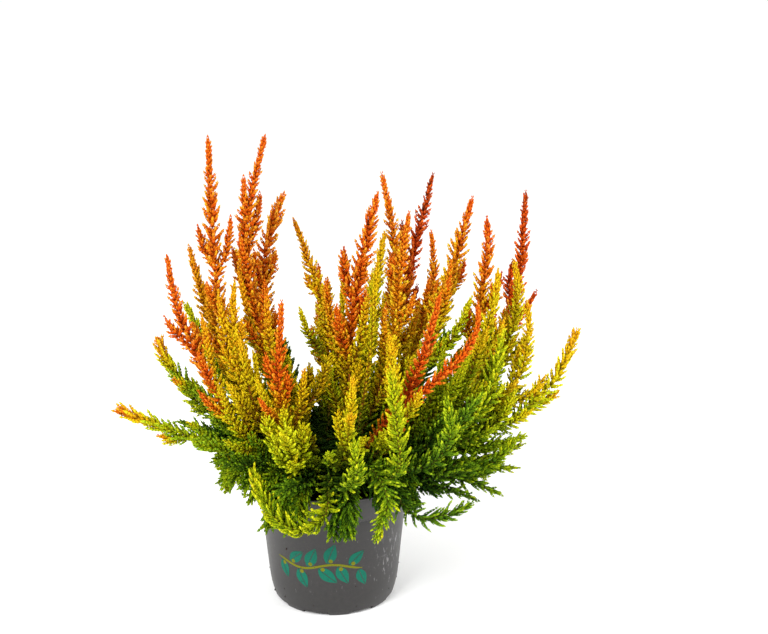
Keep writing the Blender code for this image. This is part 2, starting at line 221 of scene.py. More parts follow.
# Longer branches that fill a shoot out: the share of the spine where each starts, its tip, and the ripeness
# at its foot and tip.
OFFSHOOTS = {
    "flame_shoot_01": ((0.25, (-58, -20, 178), 0.26, 0.52),),
    "flame_shoot_02": ((0.66, (-52, 14, 264), 0.70, 0.80), (0.28, (-38, -14, 198), 0.36, 0.68),
                       (0.3, (-56, 5, 210), 0.4, 0.64)),
    "flame_shoot_04": ((0.35, (-75, -24, 188), 0.36, 0.64), (0.2, (-66, -34, 150), 0.24, 0.5)),
    "flame_shoot_05": ((0.3, (-4, 16, 200), 0.34, 0.76), (0.35, (22, -6, 196), 0.34, 0.56)),
    "flame_shoot_10": ((0.4, (84, -10, 196), 0.2, 0.4), (0.5, (72, 4, 214), 0.36, 0.7)),
    "flame_shoot_11": ((0.4, (100, -8, 200), 0.22, 0.44),),
    "flame_shoot_16": ((0.4, (-20, 8, 184), 0.2, 0.42),),
    "flame_shoot_17": ((0.3, (-42, -48, 158), 0.22, 0.48), (0.35, (-14, -44, 162), 0.24, 0.6)),
    "gold_shoot_03": ((0.3, (98, -30, 154), 0.18, 0.38),),
    "gold_shoot_04": ((0.3, (118, -22, 112), 0.1, 0.26), (0.42, (110, -24, 142), 0.18, 0.38),
                      (0.35, (104, -10, 164), 0.1, 0.3)),
    "gold_shoot_05": ((0.3, (82, -30, 168), 0.18, 0.36), (0.25, (68, -20, 168), 0.12, 0.3),
                      (0.25, (76, -26, 156), 0.1, 0.28)),
    "gold_shoot_08": ((0.3, (-52, -34, 178), 0.24, 0.54), (0.5, (-66, -16, 200), 0.4, 0.6),
                      (0.2, (-45, -28, 168), 0.2, 0.46)),
    "gold_shoot_09": ((0.2, (-84, -28, 114), 0.12, 0.34),),
    "gold_shoot_10": ((0.35, (-36, -60, 139), 0.2, 0.38), (0.45, (-14, -64, 136), 0.2, 0.36),
                      (0.5, (-26, -58, 142), 0.22, 0.38), (0.4, (-30, -68, 130), 0.2, 0.34)),
    "lime_shoot_03": ((0.4, (114, -24, 92), 0.05, 0.24), (0.3, (118, -14, 104), 0.06, 0.28),
                      (0.35, (103, -34, 78), 0.0, 0.2), (0.25, (108, -4, 84), 0.0, 0.18)),
    "green_shoot_03": ((0.35, (114, 14, 92), 0.0, 0.16),),
    "green_shoot_08": ((0.4, (88, -46, 80), 0.0, 0.14), (0.3, (98, -40, 96), 0.0, 0.16)),
    "green_shoot_10": ((0.3, (-13, -10, 154), 0.2, 0.4), (0.45, (0, -16, 162), 0.2, 0.42)),
}

# Ripeness of the leaves at a shoot's foot, turning point and tip, and the turning point's share of its
# length. Ripeness 0 is shaded green, 1 is brick red.
RIPENESS = {
    "flame_shoot": (0.10, 0.46, 0.78, 0.46),
    "gold_shoot": (0.08, 0.27, 0.54, 0.48),
    "lime_shoot": (0.03, 0.16, 0.33, 0.5),
    "green_shoot": (0.0, 0.04, 0.15, 0.6),
    "flame_shoot_01": (0.14, 0.66, 0.79, 0.44),
    "flame_shoot_02": (0.14, 0.69, 0.79, 0.46),
    "flame_shoot_03": (0.20, 0.70, 0.75, 0.45),
    "flame_shoot_04": (0.22, 0.76, 0.79, 0.5),
    "flame_shoot_05": (0.14, 0.74, 0.79, 0.5),
    "flame_shoot_06": (0.10, 0.52, 0.78, 0.46),
    "flame_shoot_07": (0.16, 0.84, 0.925, 0.66),
    "flame_shoot_08": (0.10, 0.52, 0.78, 0.46),
    "flame_shoot_10": (0.10, 0.42, 0.84, 0.50),
    "flame_shoot_11": (0.10, 0.44, 0.88, 0.50),
    "flame_shoot_12": (0.16, 0.80, 0.905, 0.66),
    "flame_shoot_13": (0.40, 0.85, 0.80, 0.3),
    "flame_shoot_14": (0.45, 0.85, 0.76, 0.4),
    "flame_shoot_15": (0.14, 0.27, 0.76, 0.74),
    "flame_shoot_16": (0.10, 0.44, 0.64, 0.5),
    "flame_shoot_17": (0.24, 0.76, 0.79, 0.64),
    "gold_shoot_01": (0.16, 0.50, 0.66, 0.5),
    "gold_shoot_02": (0.10, 0.28, 0.54, 0.6),
    "gold_shoot_03": (0.10, 0.32, 0.54, 0.5),
    "gold_shoot_04": (0.08, 0.26, 0.56, 0.6),
    "gold_shoot_05": (0.08, 0.28, 0.54, 0.55),
    "gold_shoot_06": (0.10, 0.34, 0.50, 0.5),
    "gold_shoot_07": (0.14, 0.28, 0.52, 0.5),
    "gold_shoot_08": (0.16, 0.42, 0.58, 0.45),
    "gold_shoot_09": (0.10, 0.22, 0.76, 0.76),
    "gold_shoot_10": (0.16, 0.30, 0.36, 0.5),
    "lime_shoot_01": (0.04, 0.19, 0.36, 0.5),
    "lime_shoot_02": (0.0, 0.08, 0.22, 0.55),
    "lime_shoot_03": (0.0, 0.08, 0.24, 0.6),
    "lime_shoot_04": (0.02, 0.05, 0.12, 0.5),
    "lime_shoot_05": (0.04, 0.12, 0.20, 0.5),
    "lime_shoot_06": (0.10, 0.22, 0.28, 0.4),
    "lime_shoot_07": (0.04, 0.14, 0.26, 0.5),
    "green_shoot_10": (0.08, 0.22, 0.32, 0.5),
}

# The leaves' colours by ripeness: at their tips, paler new growth with a painted highlight, along their
# bodies and in painted shade near the stem, then the bark's.
RIPE_PLACES = (0.0, 0.14, 0.3, 0.46, 0.6, 0.74, 0.86, 0.94, 1.0)
FRESH_AND_HIGHLIT_COLOURS = ("#4c781e", "#9cbc20", "#d8da1c", "#f0ce20", "#ecaa24",
                 "#f29030", "#ea7626", "#944a26", "#6c361e")
BODY_COLOURS = ("#1e4408", "#628608", "#b0b808", "#d8b608", "#da9208",
                "#d46806", "#d44a06", "#742c08", "#4e1c08")
SHADE_COLOURS = ("#081a02", "#223c02", "#565e02", "#806402", "#8a4602",
                 "#8a2e02", "#861e02", "#3c1204", "#240a02")
BARK_STOPS = ((0.0, "#46441a"), (0.18, "#6a5e1c"), (0.42, "#a0601c"), (0.75, "#a83c10"), (1.0, "#6e200c"))
LEAF_TINTS = {"flame_shoot": "orange", "gold_shoot": "gold", "lime_shoot": "lime", "green_shoot": "green"}
RIPENESS_DRIFT = 0.05

# Where little light reaches: low near the plant's middle, and a hollow among the front shoots.
SHADED_REACH = (40.0, 76.0)
SHADED_HEIGHT = (98.0, 190.0)
HOLLOW_PLACE = np.array((1.0, -54.0, 108.0))
HOLLOW_REACH = np.array((10.0, 15.0, 18.0))
HOLLOW_EDGE = (1.0, 1.7)
SHADE_SHARE = 0.78
BROWNED_HEIGHT = (96.0, 138.0)
BROWNING = 0.26
BROWNED_BELOW = 0.4

# The pot's outside as the foliage meets it: radius at heights, and the least height along a branch.
POT_SIDE = ((0.0, 39.0), (18.0, 41.0), (63.0, 45.4), (66.4, 49.8), (84.5, 55.8))
ROOM_INSIDE = 43.0
LEAF_ROOM = 0.8
OVER_THE_RIM = ((38.0, 79.0), (48.0, 89.0), (59.0, 89.0), (66.0, 74.0), (84.0, 36.0))

# Low branches that spread over the rim: where they leave a shoot, then radius, height and fall of each knot.
GOLDEN_ANGLE = math.radians(137.5)
SKIRT_START = (8.0, 24.0)
SKIRT_RIPENESS = (0.0, 0.13)
SKIRT_HABIT = dict(sprig=9.5, spacing=2.6, spread=58.0, taper=26.0, lift=0.1, girth=0.9, tip=0.58, dim=0.3)
# How much the skirts' ripeness leans with their side: painted light, lighter on the left towards the front
# lamp and darker green on the right.
SKIRT_SIDE_LIGHT = 0.07
SKIRTS = {"flame_shoot": 1, "gold_shoot": 1, "lime_shoot": 2, "green_shoot": 2}
SKIRT_KNOTS = ((36.0, 92.0, 0.0), (52.0, 97.0, 3.0), (63.0, 93.0, 12.0), (71.0, 89.0, 31.0))


def linear(hex_colour):
    """Turn an sRGB hex colour to linear light."""
    channels = [int(hex_colour[start:start + 2], 16) / 255.0 for start in (1, 3, 5)]
    light = [c / 12.92 if c <= 0.04045 else ((c + 0.055) / 1.055) ** 2.4 for c in channels]
    return (*light, 1.0)


def add(tree, kind, settings=None, **links):
    """Add a shader node, set its properties and sockets, and link its inputs by name or as i and a number."""
    node = tree.nodes.new("ShaderNode" + kind)
    for name, value in (settings or {}).items():
        if isinstance(name, int) or name in node.inputs:
            node.inputs[name].default_value = value
        else:
            setattr(node, name, value)
    for name, source in links.items():
        tree.links.new(source, node.inputs[int(name[1:]) if name[1:].isdigit() else name])
    return node


def new_surface(name):
    """A material with its node tree and its Principled shader."""
    material = bpy.data.materials.new(name)
    material.use_nodes = True
    return material, material.node_tree, material.node_tree.nodes["Principled BSDF"]


def link_surface(tree, shader, **sources):
    """Link nodes to the shader's colour, roughness and relief."""
    sockets = {"colour": "Base Color", "roughness": "Roughness", "relief": "Normal"}
    for name, source in sources.items():
        tree.links.new(source, shader.inputs[sockets[name]])


def per_mm(length):
    """A texture's scale for details of this length in millimetres."""
    return 1.0 / (length * MM)


def set_stops(ramp, stops):
    """Give a colour ramp its stops, as pairs of place and hex colour."""
    elements = ramp.color_ramp.elements
    while len(elements) < len(stops):
        elements.new(1.0)
    for element, (place, colour) in zip(elements, stops):
        element.position = place
        element.color = linear(colour)


def put(name, data):
    """A new object in the scene."""
    placed = bpy.data.objects.new(name, data)
    bpy.context.scene.collection.objects.link(placed)
    return placed


def mesh_from(shape, name):
    """A mesh made of a finished bmesh."""
    mesh = bpy.data.meshes.new(name)
    shape.to_mesh(mesh)
    shape.free()
    return mesh


def around(radius, angle, height):
    """Places about the pot's axis."""
    return np.column_stack((radius * np.cos(angle), radius * np.sin(angle), height))


def joined(parts):
    """One list of places and one of triangles, from pairs of them."""
    starts = np.cumsum([0] + [len(places) for places, _ in parts[:-1]])
    faces = np.vstack([corners + start for (_, corners), start in zip(parts, starts)])
    return np.vstack([places for places, _ in parts]), faces


def copies(stack, corners):
    """Places and triangles of many small shapes that share one list of faces."""
    starts = stack.shape[1] * np.arange(len(stack))
    return stack.reshape(-1, 3), (corners[None] + starts[:, None, None]).reshape(-1, 3)


def ring_faces(rows, steps):
    """Triangles of a closed skin over rings of points, then a point at the first end and one at the last."""
    index = np.arange(rows * steps).reshape(rows, steps)
    low, high = index[:-1], index[1:]
    low_next, high_next = np.roll(low, -1, axis=1), np.roll(high, -1, axis=1)
    first, last = index[0], index[-1]
    return np.concatenate((
        np.stack((low, low_next, high_next), axis=2).reshape(-1, 3),
        np.stack((low, high_next, high), axis=2).reshape(-1, 3),
        np.stack((np.roll(first, -1), first, np.full(steps, index.size)), axis=1),
        np.stack((last, np.roll(last, -1), np.full(steps, index.size + 1)), axis=1),
    ))


# Foliage geometry

def unit(vectors):
    """Vectors at a length of one."""
    return vectors / np.maximum(np.linalg.norm(vectors, axis=-1, keepdims=True), TINY)


def swing(first, second, angle):
    """Directions turned from the first towards the second by an angle."""
    return first * np.cos(angle)[:, None] + second * np.sin(angle)[:, None]


def path_lengths(points):
    """The distance along a path to each of its points."""
    return np.concatenate(([0.0], np.cumsum(np.linalg.norm(np.diff(points, axis=0), axis=1))))


def read_table(marks, along, table):
    """A table of places or directions along a path, read at marks."""
    return np.column_stack([np.interp(marks, along, table[:, axis]) for axis in range(3)])


def node_rings(node):
    """The middles of a shoot's rings, in order from its root to its tip."""
    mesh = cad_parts[node].data
    corners = np.array([vertex.co for vertex in mesh.vertices]) / MM
    places, same = np.unique(np.round(corners, 3), axis=0, return_inverse=True)
    same = same.ravel()
    ends = np.array([same[list(edge.vertices)] for edge in mesh.edges])
    linked = np.zeros((len(places), len(places)), bool)
    linked[ends[:, 0], ends[:, 1]] = True
    linked |= linked.T
    crown_top = np.array((0.0, 0.0, COMPOST_TOP))
    root = np.argmin(np.linalg.norm(places - crown_top, axis=1))
    ring = np.linalg.norm(places - places[root], axis=1) < ROOT_RING_SPAN
    seen = np.zeros(len(places), bool)
    middles = []
    while ring.any():
        middles.append(places[ring].mean(axis=0))
        seen |= ring
        ring = linked[ring].any(axis=0) & ~seen
    return np.array(middles)


def smooth_path(points):
    """A Catmull-Rom curve through the points, read at even steps."""
    guides = np.vstack((2.0 * points[0] - points[1], points, 2.0 * points[-1] - points[-2]))
    share = np.linspace(0.0, 1.0, CURVE_STEPS, endpoint=False)[:, None]
    fine = []
    for before, here, after, beyond in zip(guides, guides[1:], guides[2:], guides[3:]):
        square = 2.0 * before - 5.0 * here + 4.0 * after - beyond
        cube = 3.0 * here - before - 3.0 * after + beyond
        fine.append(here + 0.5 * ((after - before) * share + square * share**2 + cube * share**3))
    fine = np.vstack(fine + [points[-1:]])
    along = path_lengths(fine)
    return read_table(np.linspace(0.0, along[-1], max(int(along[-1] / PATH_STEP), 2) + 1), along, fine)


def make_branch(points, ripe):
    """A path with the ripeness of its leaves, and a frame that starts across the way it leans."""
    ahead = unit(np.gradient(points, axis=0))
    lean = unit(points[-1] * (1.0, 1.0, 0.0))
    side = np.cross(ahead[0], lean - 0.4 * UP)
    sides = []
    for direction in ahead:
        side = unit(side - direction * np.dot(side, direction))
        sides.append(side)
    return dict(points=points, along=path_lengths(points), ahead=ahead, side=np.array(sides), ripe=ripe)


def read_branch(branch, marks):
    """Place, direction, side and ripeness at marks along a branch."""
    along = branch["along"]
    place, ahead, side = (read_table(marks, along, branch[name]) for name in ("points", "ahead", "side"))
    ahead, side = unit(ahead), unit(side)
    side = unit(side - ahead * np.sum(side * ahead, axis=1)[:, None])
    return place, ahead, side, np.interp(marks, along, branch["ripe"])


def smoothstep(low, high, value):
    """0 below low, 1 above high, and an even rise between them."""
    share = np.clip((value - low) / (high - low), 0.0, 1.0)
    return share * share * (3.0 - 2.0 * share)


def cross_frame(along, outward):
    """A side direction, and the outward one set square to it and to the way along."""
    side = unit(np.cross(along, outward))
    return side, unit(np.cross(side, along))


def scales(base, tip, outward, width, thickness, ripe, tone_low, tone_high):
    """Closed pointed scale leaves of four faces, keeled outside, their wide ends buried in the stem."""
    along = tip - base
    side, outward = cross_frame(along, outward)
    belly = base + LEAF_BELLY * along
    half = 0.5 * width[:, None]
    keel = belly + outward * thickness[:, None]
    inner = belly - outward * LEAF_SINK
    vertices = np.stack((inner + side * half, inner - side * half, keel, tip), axis=1)
    tone_keel = 0.5 * (tone_low + tone_high)
    u = np.stack((ripe - MAP_SPREAD, ripe + MAP_SPREAD, ripe, ripe), axis=1)
    v = np.maximum(np.stack((tone_low, tone_low, tone_keel, tone_high), axis=1), LEAF_TONE + 0.01)
    return vertices, np.clip(np.stack((u, v), axis=2), *MAP_EDGES), LEAF_FACES


def cores(base, tip, outward, width, ripe, tone_low, tone_high):
    """Closed tapering sprig stems of six faces."""
    side, outward = cross_frame(tip - base, outward)
    belly = base + CORE_BELLY * (tip - base)
    half = 0.5 * width[:, None]
    vertices = np.stack((base, belly + side * half - outward * half, belly - side * half - outward * half,
                         belly + outward * half, tip), axis=1)
    u = np.stack((ripe, ripe - MAP_SPREAD, ripe + MAP_SPREAD, ripe, ripe), axis=1)
    middle = (1.0 - CORE_BELLY) * tone_low + CORE_BELLY * tone_high
    v = np.stack((tone_low, middle, middle, middle + 0.04, tone_high), axis=1)
    return vertices, np.clip(np.stack((u, v), axis=2), *MAP_EDGES), CORE_FACES


def tube(branch, radii):
    """A closed tapered tube along a branch: vertices, faces and map places."""
    kept = np.arange(0, len(radii) - 1, TUBE_STRIDE)
    points, ahead, side, ripe = (branch[name][kept] for name in ("points", "ahead", "side", "ripe"))
    radii = radii[kept]
    across = np.cross(ahead, side)
    angles = np.arange(TUBE_SIDES) * math.tau / TUBE_SIDES
    ring = side[:, None] * np.cos(angles)[None, :, None] + across[:, None] * np.sin(angles)[None, :, None]
    body = points[:, None] + ring * radii[:, None, None]
    vertices = np.vstack((body.reshape(-1, 3), points[:1], points[-1:] + ahead[-1:] * radii[-1]))
    tones = BARK_TONE + 0.05 * np.abs(np.arange(TUBE_SIDES) / TUBE_SIDES - 0.5)
    maps = np.stack(np.broadcast_arrays(ripe[:, None], tones[None, :]), axis=2).reshape(-1, 2)
    ends = np.array(((ripe[0], BARK_TONE), (ripe[-1], BARK_TONE + 0.03)))
    return vertices, ring_faces(len(points), TUBE_SIDES), np.clip(np.vstack((maps, ends)), *MAP_EDGES)


def in_the_pot(points):
    """Which points lie in the pot's wall, the compost or the pot's inside."""
    reach = np.hypot(points[:, 0], points[:, 1])
    height = points[:, 2]
    heights, radii = zip(*POT_SIDE)
    in_room = (reach < ROOM_INSIDE) & (height > COMPOST_TOP + 1.0)
    return (height < heights[-1]) & (reach < np.interp(height, heights, radii) + LEAF_ROOM) & ~in_room


def over_the_rim(points):
    """Lift a branch where it would run through the compost or the rim."""
    reach = np.hypot(points[:, 0], points[:, 1])
    radii, heights = zip(*OVER_THE_RIM)
    lifted = points.copy()
    lifted[:, 2] = np.maximum(points[:, 2], np.interp(reach, radii, heights))
    return lifted


def place_sprigs(branch, habit, bare, rng):
    """Sprigs in pairs along a branch, shorter and steeper towards its tip."""
    length = branch["along"][-1]
    crowding = 0.55 + 0.5 * smoothstep(0.0, CROWDED_SPAN, np.arange(0.0, length, CROWDED_STEP))
    to_tip = FIRST_SPRIG + np.cumsum(habit["spacing"] * crowding)
    marks = length - to_tip[to_tip < length - bare]
    order = np.arange(len(marks))
    in_plane = np.where(order % 3 == 2, 0.5 * math.pi, 0.0)
    turn = np.repeat(in_plane if habit["flat"] else order * PAIR_TURN, 2)
    marks = np.repeat(marks, 2)
    turn = turn + np.tile((0.0, math.pi), len(turn) // 2) + rng.normal(0.0, 0.2, len(marks))
    marks = np.clip(marks + rng.normal(0.0, 0.25, len(marks)), 0.0, length)
    place, ahead, side, ripe = read_branch(branch, marks)
    radial = swing(side, np.cross(ahead, side), turn)
    to_tip = length - marks
    full = smoothstep(0.0, min(habit["taper"], 0.75 * length), to_tip)
    growth = habit["tip"] + (1.0 - habit["tip"]) * full
    low = FOOT_SHARE + (1.0 - FOOT_SHARE) * smoothstep(0.0, FOOT_SPAN, marks - bare)
    sizes = habit["sprig"] * growth * low * rng.uniform(0.75, 1.2, len(marks))
    open_share = smoothstep(0.0, min(STEEP_SPAN, 0.6 * length), to_tip)
    spread = np.radians(habit["spread"]) * (STEEP_SHARE + (1.0 - STEEP_SHARE) * open_share)
    spread = spread + rng.normal(0.0, 0.1, len(marks))
    start = unit(swing(ahead, radial, spread))
    end = unit(swing(ahead, radial, spread * END_BEND) + UP * habit["lift"])
    sprigs = dict(base=place, start=start, end=end, size=sizes, ripe=ripe, ahead=ahead)
    tip = place + sizes[:, None] * 0.5 * (start + end)
    free = ~(in_the_pot(tip) | in_the_pot(0.5 * (place + tip)))
    return {name: values[free] for name, values in sprigs.items()}


def leaf_sprigs(sprigs, habit, rng):
    """Every sprig's core and its crossed pairs of scale leaves."""
    pairs = np.clip(np.round(sprigs["size"] / PAIR_SPACING), 2, MOST_PAIRS).astype(int)
    owner = np.repeat(np.arange(len(pairs)), pairs)
    first = np.repeat(np.cumsum(pairs) - pairs, pairs)
    step = np.arange(len(owner)) - first
    reach = (step + 0.35) / pairs[owner]
    owner, reach, step = (np.repeat(values, 2) for values in (owner, reach, step))
    mirror = np.tile((1.0, -1.0), len(owner) // 2)
    size = sprigs["size"][owner, None]
    start, end = sprigs["start"][owner], sprigs["end"][owner]
    at = reach[:, None]
    place = sprigs["base"][owner] + size * (start * at + 0.5 * (end - start) * at**2)
    ahead = unit(start + (end - start) * at)
    flat = unit(np.cross(sprigs["ahead"][owner], ahead))
    other = np.cross(flat, ahead)
    outward = np.where((step % 2 == 0)[:, None], flat, other) * mirror[:, None]
    opening = np.radians(LEAF_OPENING - LEAF_CLOSING * reach) + rng.normal(0.0, 0.06, len(owner))
    scale = (1.06 - 0.28 * reach) * rng.uniform(0.88, 1.12, len(owner))
    scale = scale * np.clip(size[:, 0] / FULL_SPRIG, 0.66, 1.08)
    tip = place + unit(swing(ahead, outward, opening)) * (LEAF_LENGTH * scale)[:, None]
    ripe = sprigs["ripe"] + rng.normal(0.0, 0.028, len(pairs))
    ripe_leaf = ripe[owner] + habit["blush"] * (reach - 0.4) + rng.normal(0.0, 0.018, len(owner))
    # Leaves near a sprig's foot lean to the painted shade colours, those near its tip to the pale tip colours
    # with their painted highlight.
    tone = 0.2 + 0.6 * reach + rng.normal(0.0, 0.05, len(owner))
    girth = scale * habit["girth"]
    leaves = scales(place, tip, outward, LEAF_WIDTH * girth, LEAF_THICKNESS * girth, ripe_leaf,
                    tone - 0.05, tone + 0.2)
    core_tip = sprigs["base"] + sprigs["size"][:, None] * 0.5 * (sprigs["start"] + sprigs["end"])
    core_out = np.cross(sprigs["ahead"], sprigs["start"])
    core = np.full(len(pairs), SPRIG_CORE * habit["girth"])
    # Each sprig's stem runs from painted shade at its foot to lighter colours near its tip.
    stems = cores(sprigs["base"], core_tip, core_out, core, ripe,
                  np.full(len(pairs), 0.14), np.full(len(pairs), 0.62))
    return [leaves, stems]


def leaf_stem(branch, first, rng):
    """Crossed pairs of scale leaves on a stem itself, which close over its tip."""
    length = branch["along"][-1]
    marks = length - np.arange(1.5, max(length - first, 6.0), STEM_LEAF_SPACING)
    turn = np.repeat(np.arange(len(marks)) * PAIR_TURN + 0.8, 2)
    marks = np.repeat(marks, 2)
    turn = turn + np.tile((0.0, math.pi), len(turn) // 2)
    place, ahead, side, ripe = read_branch(branch, marks)
    outward = swing(side, np.cross(ahead, side), turn)
    to_tip = length - marks
    opening = np.radians(7.0 + 22.0 * smoothstep(0.0, 14.0, to_tip))
    scale = (0.62 + 0.4 * smoothstep(1.0, 9.0, to_tip)) * rng.uniform(0.9, 1.12, len(marks))
    base = place + outward * 0.25
    tip = base + unit(swing(ahead, outward, opening)) * (LEAF_LENGTH * scale)[:, None]
    # Leaves on the stem run from painted shade at their feet to lighter tips with a painted highlight.
    tone = np.full(len(marks), 0.5) + rng.normal(0.0, 0.07, len(marks))
    ripe = ripe + rng.normal(0.0, 0.02, len(marks))
    return scales(base, tip, outward, STEM_LEAF_WIDTH * scale, STEM_LEAF_THICKNESS * scale, ripe,
                  tone - 0.2, tone + 0.25)


def skirt_branch(branch, bearing, rng):
    """A low branch that leans out over the rim on its own side of the pot."""
    place = read_branch(branch, np.array([rng.uniform(*SKIRT_START)]))[0]
    out = np.array((math.cos(bearing), math.sin(bearing), 0.0))
    droop = rng.uniform(0.0, 1.0) * (0.3 + 0.7 * max(0.0, -math.sin(bearing)) ** 3)
    knots = [place[0]]
    for radius, height, fall in SKIRT_KNOTS:
        knot = out * (radius + rng.uniform(-2.5, 2.5))
        knots.append(knot + UP * (height - fall * droop + rng.uniform(-2.0, 3.0)))
    points = smooth_path(np.array(knots))
    # Painted light: skirts on the left, towards the front lamp, are drawn riper and lighter, those on the
    # right darker green.
    painted_side_light = -SKIRT_SIDE_LIGHT * math.cos(bearing)
    ripe = np.linspace(*SKIRT_RIPENESS, len(points)) + painted_side_light + rng.uniform(-0.04, 0.06)
    return make_branch(over_the_rim(points), ripe)


def offshoot(branch, share, tip, ripe):
    """A longer branch that leaves the spine and rises to a tip of its own."""
    start = read_branch(branch, np.array([branch["along"][-1] * share]))[0][0]
    middle = start + (np.array(tip) - start) * (0.62, 0.62, 0.42)
    points = smooth_path(np.array((start, middle, tip)))
    return make_branch(over_the_rim(points), np.linspace(*ripe, len(points)))


def side_branches(branch, habit, ripe_of, rng):
    """Thinner branches that leave the spine and turn up beside it."""
    length = branch["along"][-1]
    count = int(BRANCH_COUNT_SHARE * length / habit["gap"])
    found = []
    turn = rng.uniform(0.0, math.tau)
    for number in range(count):
        turn += GOLDEN_ANGLE
        share = BRANCH_FOOT + BRANCH_ZONE * (number + rng.uniform(0.1, 0.9)) / count
        place, ahead, side, _ = read_branch(branch, np.array([length * share]))
        radial = side[0] * math.cos(turn) + np.cross(ahead[0], side[0]) * math.sin(turn)
        reach = habit["reach"] * rng.uniform(0.65, 1.2) * min(1.0, length * (1.0 - share) / BRANCH_ROOM)
        start = unit(ahead[0] * 0.88 + radial * 0.56)
        end = unit(ahead[0] + radial * 0.12 + UP * 0.2)
        at = np.linspace(0.0, 1.0, max(int(reach / PATH_STEP), 6))
        points = place[0] + reach * (start * at[:, None] + 0.5 * (end - start) * at[:, None]**2)
        ripe = ripe_of(share + (0.06 + 0.34 * smoothstep(0.15, 0.5, share)) * at)
        found.append(make_branch(over_the_rim(points), ripe))
    return found


def shade_within(places, maps):
    """Draw leaves towards their shaded colour where little light reaches the plant's inside."""
    reach = np.hypot(places[:, 0], places[:, 1])
    inner = (1.0 - smoothstep(*SHADED_REACH, reach)) * (1.0 - smoothstep(*SHADED_HEIGHT, places[:, 2]))
    from_hollow = np.sqrt(np.sum(((places - HOLLOW_PLACE) / HOLLOW_REACH) ** 2, axis=1))
    shade = SHADE_SHARE * np.maximum(inner, 1.0 - smoothstep(*HOLLOW_EDGE, from_hollow))
    leafy = maps[:, 1] > LEAF_TONE
    shaded = np.where(leafy, LEAF_TONE + (maps[:, 1] - LEAF_TONE) * (1.0 - shade), maps[:, 1])
    browned = BROWNING * inner * smoothstep(*BROWNED_HEIGHT, places[:, 2]) * (maps[:, 0] < BROWNED_BELOW)
    return np.column_stack((maps[:, 0] + browned, shaded))


def ripening(low, middle, high, turning):
    """How ripe leaves are at a share of their shoot: slow to the turning point, then even."""
    def ripe_of(share):
        early = low + (middle - low) * np.minimum(share / turning, 1.0) ** 2
        return early + (high - middle) * np.clip((share - turning) / (1.0 - turning), 0.0, 1.0)

    return ripe_of


def grow_branches(node, kind, number, rng):
    """A shoot's spine, then the branches on it, each with the habit that it grows by."""
    habit = HABITS[kind] | ODD_HABITS.get(node, {})
    lesser = habit | {"sprig": BRANCH_SPRIG * habit["sprig"]}
    ripe_of = ripening(*RIPENESS.get(node, RIPENESS[kind]))
    path = smooth_path(node_rings(node))
    spine = make_branch(path, ripe_of(np.linspace(0.0, 1.0, len(path))))
    branches = [(spine, habit)]
    branches += [(side, lesser) for side in side_branches(spine, habit, ripe_of, rng)]
    branches += [(offshoot(spine, share, tip, ripe), lesser) for share, tip, *ripe in OFFSHOOTS.get(node, ())]
    for turn in range(SKIRTS[kind]):
        bearing = (number + 0.5 * turn) * GOLDEN_ANGLE + rng.normal(0.0, 0.12)
        branches.append((skirt_branch(spine, bearing, rng), habit | SKIRT_HABIT))
    return branches


def clothe(branch, habit, radius, bare, rng):
    """A branch's stem, sprigs and scale leaves, each as vertices, faces and map places."""
    length = branch["along"][-1]
    parts = [tube(branch, radius * (1.0 - TUBE_TAPER * branch["along"] / length))]
    slivers = leaf_sprigs(place_sprigs(branch, habit, bare, rng), habit, rng)
    slivers.append(leaf_stem(branch, (1.0 - habit["clad"]) * length, rng))
    for places, flat, corners in slivers:
        flat[..., 1] = LEAF_TONE + (flat[..., 1] - LEAF_TONE) * (1.0 - habit["dim"])
        parts.append((*copies(places, corners), flat.reshape(-1, 2)))
    return parts


def grow_shoot(node, number, surfaces):
    """One leafy shoot in the place of its node: stem, side branches, sprigs and scale leaves."""
    kind = node.rsplit("_", 1)[0]
    rng = np.random.default_rng((SEED, number))
    (spine, habit), *others = grow_branches(node, kind, number, rng)
    parts = clothe(spine, habit, SPINE_RADIUS, SPINE_BARE, rng)
    for branch, manner in others:
        parts += clothe(branch, manner, BRANCH_RADIUS, BRANCH_BARE, rng)
    vertices, faces = joined([part[:2] for part in parts])
    maps = shade_within(vertices, np.vstack([flat for _, _, flat in parts]))
    piece = build_piece(node + "_foliage", vertices, faces, surfaces[kind])
    uv = piece.data.uv_layers.new(name="OFBake")
    loops = np.empty(len(piece.data.loops), np.int32)
    piece.data.loops.foreach_get("vertex_index", loops)
    uv.data.foreach_set("uv", maps[loops].astype(np.float32).ravel())
    stand_for(piece, node)


def build_piece(name, places, triangles, material):
    """A smooth-shaded mesh object from millimetre places and triangles."""
    mesh = bpy.data.meshes.new(name)
    mesh.vertices.add(len(places))
    mesh.vertices.foreach_set("co", (places * MM).astype(np.float32).ravel())
    mesh.loops.add(3 * len(triangles))
    mesh.loops.foreach_set("vertex_index", triangles.astype(np.int32).ravel())
    mesh.polygons.add(len(triangles))
    mesh.polygons.foreach_set("loop_start", 3 * np.arange(len(triangles), dtype=np.int32))
    mesh.polygons.foreach_set("loop_total", np.full(len(triangles), 3, np.int32))
    mesh.update(calc_edges=True)
    mesh.validate()
    mesh.shade_smooth()
    mesh.materials.append(material)
    return put(name, mesh)


def stand_for(piece, node):
    """Put a piece in a node's place: attach it to the root body and hide the node."""
    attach(piece, "root")
    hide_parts(node)


# Surfaces

